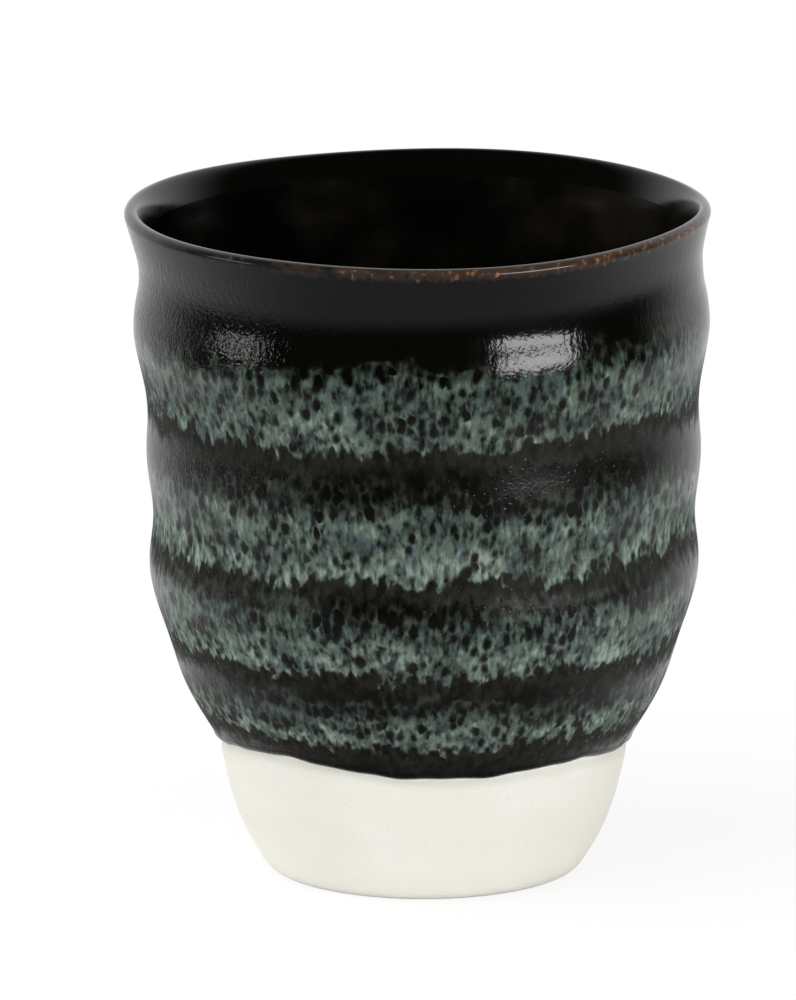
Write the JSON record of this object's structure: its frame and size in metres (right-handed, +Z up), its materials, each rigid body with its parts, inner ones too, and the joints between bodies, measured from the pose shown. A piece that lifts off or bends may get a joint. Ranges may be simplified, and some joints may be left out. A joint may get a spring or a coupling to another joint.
{
  "type": "tumbler",
  "caption": "Handleless ceramic tumbler with soft throwing ridges, a dark glaze banded in blue-green, a flared lip and a bare cream foot.",
  "frame": {"origin": "centre of the foot, on the surface that the tumbler stands on", "axes": "+Z up along the cup's axis, front towards -Y"},
  "size_m": [0.0832, 0.0836, 0.0963],
  "materials": {
    "bare_clay": "smooth matte cream-white fired clay",
    "dark_glaze": "glossy black-brown glaze with a faint orange-peel",
    "liner_glaze": "glossy black glaze",
    "rim_glaze": "thin charcoal glaze that breaks to rust brown on the lip's edge",
    "band_glaze": "mottled blue-green second glaze with dark spots and drip fringes"
  },
  "bodies": {
    "root": {"clay_body": "bare_clay", "outer_glaze": "dark_glaze", "liner_glaze": "liner_glaze", "rim_glaze": "rim_glaze", "bottom_band": "band_glaze", "lower_band": "band_glaze", "upper_band": "band_glaze", "top_band": "band_glaze"}
  },
  "joints": []
}
